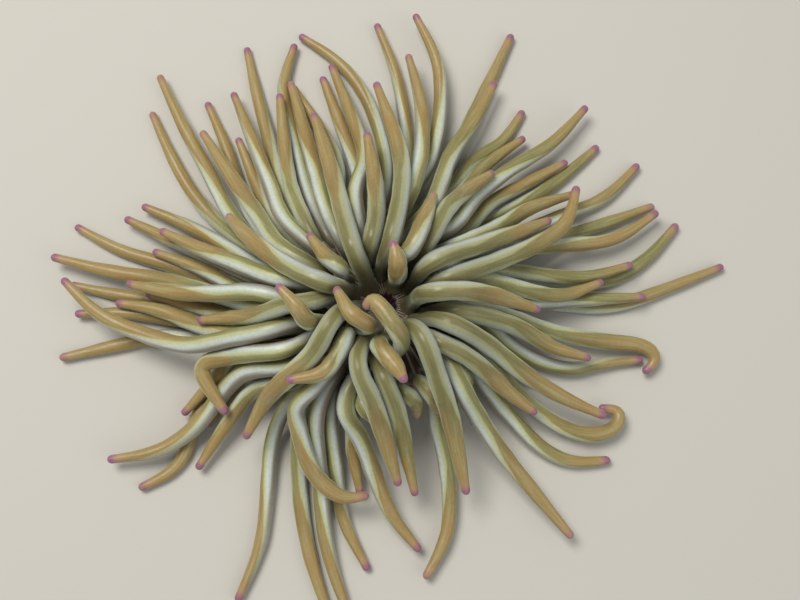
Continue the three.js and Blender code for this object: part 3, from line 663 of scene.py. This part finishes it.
def lay_body():
    """The skin of the base, column, rim, disc and throat."""
    start = len(skin_points)
    outline = spline(BODY_OUTLINE)
    for radius, z, part in (outline(i / (BODY_ROWS - 1)) for i in range(BODY_ROWS)):
        for s in range(BODY_AROUND):
            deg = 360 * s / BODY_AROUND
            turn = math.radians(deg)
            r, height = radius, z
            if part < 0.5 and z > 2:
                r += 0.35 * math.cos(turn * COLUMN_RIDGES) * smooth((z - 2) / 3) + 0.55 * verruca(deg, z)
                r += 0.5 * math.sin(5 * turn + 1.0) * smooth((z - 2) / 5)
            if part >= 1 and radius > 4:
                height += 0.28 * math.cos(turn * DISC_RIDGES) * smooth((radius - 4) / 5)
            if 1.2 < part < 2.1:
                r *= 1 + 0.07 * math.cos(turn * 12)
            if part >= 0.8:
                narrow = 1 - MOUTH_SQUEEZE * clamp01(1 - (radius - MOUTH_RADIUS) / 8)
                x, y = on_ring(r, deg)
                x *= narrow
            else:
                pull = smooth((z - 4) / 13) * 0.95
                x, y = r * math.cos(turn) + SKEW[0] * pull, r * math.sin(turn) + SKEW[1] * pull
            skin_points.append(np.array([x, y, max(height, LEAST_HEIGHT)]))
            skin_band.append((math.cos(turn * DISC_RIDGES), math.sin(turn * DISC_RIDGES), radius / 30))
            skin_kind.append((0.5, part / 2, KIND_BODY))
    grid_faces(start, BODY_ROWS, BODY_AROUND, (0.002, TUBE_MAP_TOP + 0.01, 0.998, 0.998))
    for row, flip in ((start, True), (start + (BODY_ROWS - 1) * BODY_AROUND, False)):
        ring = list(range(row, row + BODY_AROUND))
        skin_faces.append(tuple(reversed(ring)) if flip else tuple(ring))
        skin_uv.extend([(0.5, 0.999)] * BODY_AROUND)


lay_body()
mesh = bpy.data.meshes.new("anemone_skin")
mesh.from_pydata([tuple(p * MM) for p in np.array(skin_points)], [], skin_faces)
uv = mesh.uv_layers.new(name="OFBake")
uv.data.foreach_set("uv", np.array(skin_uv, np.float32).ravel())
for name, rows in (("band", skin_band), ("kind", skin_kind)):
    layer = mesh.attributes.new(name, "FLOAT_VECTOR", "POINT")
    layer.data.foreach_set("vector", np.array(rows, np.float32).ravel())
mesh.polygons.foreach_set("use_smooth", [True] * len(mesh.polygons))
mesh.update()
skin = bpy.data.objects.new("anemone_skin", mesh)
bpy.context.scene.collection.objects.link(skin)

# ---- the material ----
def srgb(r, g, b):
    """A colour given as 0-255 sRGB, as linear light."""
    shares = [v / 255 for v in (r, g, b)]
    return tuple(v / 12.92 if v <= 0.04045 else ((v + 0.055) / 1.055) ** 2.4 for v in shares) + (1,)


OCHRE = srgb(163, 134, 82)
DEEP_OCHRE = srgb(132, 104, 58)
OLIVE = srgb(128, 129, 80)
PALE_OLIVE = srgb(166, 166, 120)
WHITE_BAND = srgb(204, 214, 210)
PALE_RIM = srgb(196, 198, 150)
# Brown, partly the tentacles' own brown-violet and partly painted shade on their lower sides.
BROWN_STRIPE_AND_SHADE = srgb(112, 88, 72)
# Painted shade: the dark brown-green the roots turn where the crowded crown lies in shade.
ROOT_PAINTED_SHADE = srgb(84, 74, 46)
FLECK = srgb(96, 78, 52)
PINK = srgb(180, 140, 112)
VIOLET = srgb(146, 86, 130)
COLUMN = srgb(196, 172, 128)
COLUMN_SPOT = srgb(142, 78, 84)
DISC = srgb(74, 62, 46)
DISC_LINE = srgb(150, 146, 128)
DISC_MIDDLE = srgb(112, 62, 44)
THROAT = srgb(44, 16, 36)


class Graph:
    """Short ways to add nodes to a material."""

    def __init__(self, name):
        self.material = bpy.data.materials.new(name)
        self.material.use_nodes = True
        self.tree = self.material.node_tree
        self.shader = self.tree.nodes["Principled BSDF"]

    def feed(self, socket, value):
        if isinstance(value, bpy.types.NodeSocket):
            self.tree.links.new(value, socket)
        else:
            socket.default_value = value

    def math(self, kind, a, b=0.0, c=0.0):
        node = self.tree.nodes.new("ShaderNodeMath")
        node.operation = kind
        for socket, value in zip(node.inputs, (a, b, c)):
            self.feed(socket, value)
        return node.outputs[0]

    def ramp(self, value, low, high, out_low=0.0, out_high=1.0):
        node = self.tree.nodes.new("ShaderNodeMapRange")
        node.interpolation_type = "SMOOTHSTEP"
        for socket, given in zip(node.inputs, (value, low, high, out_low, out_high)):
            self.feed(socket, given)
        return node.outputs[0]

    def mix(self, amount, a, b):
        node = self.tree.nodes.new("ShaderNodeMix")
        node.data_type = "RGBA"
        self.feed(node.inputs["Factor"], amount)
        self.feed(node.inputs["A"], a)
        self.feed(node.inputs["B"], b)
        return [out for out in node.outputs if out.type == "RGBA"][0]

    def split(self, name):
        attribute = self.tree.nodes.new("ShaderNodeAttribute")
        attribute.attribute_name = name
        parts = self.tree.nodes.new("ShaderNodeSeparateXYZ")
        self.tree.links.new(attribute.outputs["Vector"], parts.inputs[0])
        return parts.outputs

    def position(self):
        """Where a point lies on the object, in metres."""
        parts = self.tree.nodes.new("ShaderNodeSeparateXYZ")
        self.tree.links.new(self.tree.nodes.new("ShaderNodeTexCoord").outputs["Object"], parts.inputs[0])
        return parts.outputs

    def noise(self, scale, detail=3.0, vector=None):
        node = self.tree.nodes.new("ShaderNodeTexNoise")
        node.inputs["Scale"].default_value = scale
        node.inputs["Detail"].default_value = detail
        if vector is None:
            vector = self.tree.nodes.new("ShaderNodeTexCoord").outputs["Object"]
        self.tree.links.new(vector, node.inputs["Vector"])
        return node.outputs["Fac"]


def stretched_noise(g, cos, sin, along, fate, size, length, scale):
    """Noise that runs in streaks along each tentacle and differs from one to the next."""
    place = g.tree.nodes.new("ShaderNodeCombineXYZ")
    g.feed(place.inputs[0], g.math("MULTIPLY_ADD", cos, size, g.math("MULTIPLY", fate, 40.0)))
    g.feed(place.inputs[1], g.math("MULTIPLY", sin, size))
    g.feed(place.inputs[2], g.math("MULTIPLY", along, length))
    return g.noise(scale, 3, vector=place.outputs[0])


def ground_colour(g, along, fate, streak, blotch):
    """Olive near the root and along most of the length, ochre towards the tip."""
    east = g.position()[0]
    ochre_start = g.math("MULTIPLY_ADD", fate, 0.3, g.math("MULTIPLY_ADD", east, 2.2, 0.32))
    ochre_place = g.math("ADD", along, g.math("MULTIPLY_ADD", blotch, 0.5, -0.25))
    ochre = g.ramp(g.math("SUBTRACT", ochre_place, ochre_start), 0.0, 0.3, 0.08, 0.95)
    colour = g.mix(ochre, OLIVE, OCHRE)
    return g.mix(g.ramp(streak, 0.4, 0.68, 0.0, 0.55), colour, PALE_OLIVE)


def banded(g, colour, cos, sin, along, part, streak):
    """White bands at both sides of the stripe, with pale rims, that narrow and fade towards the tip;
    beyond them brown, partly the tentacle's own brown-violet and partly painted shade on its lower side.
    """
    edge = g.math("MULTIPLY_ADD", streak, 0.3, g.math("ADD", cos, -0.15))
    side = g.math("MULTIPLY_ADD", g.math("MULTIPLY", sin, g.math("ADD", part, -0.5)), 0.35, edge)
    stripe_end = g.math("MULTIPLY_ADD", part, 0.16, 0.9)
    limit = g.ramp(along, 0.5, stripe_end, 0.84, -0.5)
    past = g.math("SUBTRACT", limit, side)
    deep = g.math("MULTIPLY", g.ramp(past, -0.08, -0.35), g.ramp(along, 0.5, 0.85, 0.45, 0.0))
    colour = g.mix(deep, colour, DEEP_OCHRE)
    rim = g.math("MULTIPLY", g.ramp(past, -0.12, 0.02), g.ramp(along, 0.82, 0.97, 0.75, 0.0))
    colour = g.mix(rim, colour, PALE_RIM)
    white = g.math("MULTIPLY", g.ramp(past, 0.0, 0.42), g.ramp(along, 0.5, 0.95, 0.88, 0.4))
    white = g.math("MULTIPLY", white, g.ramp(streak, 0.3, 0.6, 0.7, 1.0))
    colour = g.mix(white, colour, WHITE_BAND)
    # Painted shade, partly real brown-violet: brown on the side turned away from the stripe, mostly the
    # underside.
    shade = g.math("MULTIPLY", g.ramp(side, 0.3, -0.35), g.ramp(along, 0.5, 0.9, 0.75, 0.3))
    return g.mix(shade, colour, BROWN_STRIPE_AND_SHADE)


def body_colour(g, cos, part):
    """Column with wine-coloured spots, disc with pale rays, dark throat."""
    spots = g.ramp(g.noise(420, 1), 0.58, 0.68)
    column = g.mix(g.math("MULTIPLY", spots, 0.8), COLUMN, COLUMN_SPOT)
    disc = g.mix(g.ramp(cos, 0.2, 0.9, 0.0, 0.8), DISC, DISC_LINE)
    disc = g.mix(g.ramp(cos, -0.3, -0.95, 0.0, 0.6), disc, DISC_MIDDLE)
    body = g.mix(g.ramp(part, 0.2, 0.45), column, disc)
    return g.mix(g.ramp(part, 0.55, 0.85), body, THROAT)


def flesh_material():
    g = Graph("anemone_flesh")
    cos, sin, along = g.split("band")
    fate, part, cycle = g.split("kind")
    fine = g.noise(900, 4)
    streak = stretched_noise(g, cos, sin, along, fate, 2.2, 5.0, 1.6)
    blotch = stretched_noise(g, cos, sin, along, fate, 0.7, 6.0, 1.2)
    colour = ground_colour(g, along, fate, streak, blotch)
    colour = banded(g, colour, cos, sin, along, part, streak)
    # Painted shade: every tentacle darkens towards its root, deep in the crown.
    colour = g.mix(g.ramp(along, 0.03, 0.32, 0.8, 0.0), colour, ROOT_PAINTED_SHADE)
    # Painted shade: the inner tentacles, cycles 1 to 3, are darker still along their near half, deep in
    # the crown.
    inner = g.ramp(cycle, 0.33, 0.37, 1.0, 0.0)
    inner_painted_shade = g.math("MULTIPLY", inner, g.ramp(along, 0.2, 0.8, 0.4, 0.0))
    colour = g.mix(inner_painted_shade, colour, ROOT_PAINTED_SHADE)
    colour = g.mix(g.ramp(along, 0.93, 0.985, 0.0, 0.45), colour, PINK)
    colour = g.mix(g.ramp(along, 0.972, 1.0, 0.0, g.ramp(part, 0.0, 0.3, 0.25, 0.75)), colour, VIOLET)
    colour = g.mix(g.ramp(fine, 0.35, 0.75, 0.0, 0.12), colour, FLECK)
    colour = g.mix(g.ramp(cycle, 0.02, 0.08, 1.0, 0.0), colour, body_colour(g, cos, part))
    shader = g.shader
    g.feed(shader.inputs["Base Color"], colour)
    g.feed(shader.inputs["Roughness"], g.ramp(fine, 0.3, 0.8, 0.34, 0.5))
    shader.inputs["Subsurface Weight"].default_value = 0.35
    shader.inputs["Subsurface Radius"].default_value = (1.0, 0.8, 0.5)
    shader.inputs["Subsurface Scale"].default_value = 0.0018
    shader.inputs["IOR"].default_value = 1.37
    shader.inputs["Sheen Weight"].default_value = 0.6
    shader.inputs["Sheen Roughness"].default_value = 0.3
    shader.inputs["Sheen Tint"].default_value = srgb(226, 232, 196)
    shader.inputs["Coat Weight"].default_value = 0.2
    shader.inputs["Coat Roughness"].default_value = 0.25
    bump = g.tree.nodes.new("ShaderNodeBump")
    bump.inputs["Strength"].default_value = 0.35
    bump.inputs["Distance"].default_value = 0.0003
    g.tree.links.new(g.noise(1400, 3), bump.inputs["Height"])
    g.tree.links.new(bump.outputs["Normal"], shader.inputs["Normal"])
    return g.material


mesh.materials.append(flesh_material())
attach(skin, "root")
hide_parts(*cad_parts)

# ---- floor, light and camera ----
floor_mesh = bpy.data.meshes.new("floor")
floor_mesh.from_pydata([(-4, -4, 0), (4, -4, 0), (4, 4, 0), (-4, 4, 0)], [], [(0, 1, 2, 3)])
floor_object = bpy.data.objects.new("floor", floor_mesh)
bpy.context.scene.collection.objects.link(floor_object)
floor_look = Graph("floor")
floor_look.shader.inputs["Base Color"].default_value = srgb(196, 192, 182)
floor_look.shader.inputs["Roughness"].default_value = 0.85
floor_mesh.materials.append(floor_look.material)


def softbox(name, place, size, power, colour=(1, 1, 1)):
    """A square studio lamp that points at the middle of the floor."""
    light = bpy.data.lights.new(name, "AREA")
    light.energy = power
    light.size = size
    light.color = colour
    lamp = bpy.data.objects.new(name, light)
    lamp.location = place
    lamp.rotation_euler = (-Vector(place)).to_track_quat("-Z", "Y").to_euler()
    bpy.context.scene.collection.objects.link(lamp)


softbox("key", (-0.35, 0.3, 1.0), 0.5, 9.5, (1.0, 0.98, 0.94))
softbox("fill", (0.8, -0.5, 0.9), 1.0, 3.5, (0.94, 0.97, 1.0))
world = bpy.data.worlds.new("world")
world.use_nodes = True
world.node_tree.nodes["Background"].inputs["Color"].default_value = (0.93, 0.96, 1.0, 1)
world.node_tree.nodes["Background"].inputs["Strength"].default_value = 0.36
bpy.context.scene.world = world

CAMERA_TARGET = (4.3, 7, 0)
CAMERA_DISTANCE = 360
CAMERA_ELEVATION = 77
camera_data = bpy.data.cameras.new("camera")
camera_data.lens = 45
camera_data.sensor_width = 36
camera_data.clip_start = 0.01
camera = bpy.data.objects.new("camera", camera_data)
lean = math.radians(CAMERA_ELEVATION)
target = Vector(CAMERA_TARGET) * MM
camera.location = target + Vector((0, -math.cos(lean), math.sin(lean))) * CAMERA_DISTANCE * MM
camera.rotation_euler = (target - camera.location).to_track_quat("-Z", "Y").to_euler()
bpy.context.scene.collection.objects.link(camera)
bpy.context.scene.camera = camera
bpy.context.scene.view_settings.view_transform = "Standard"
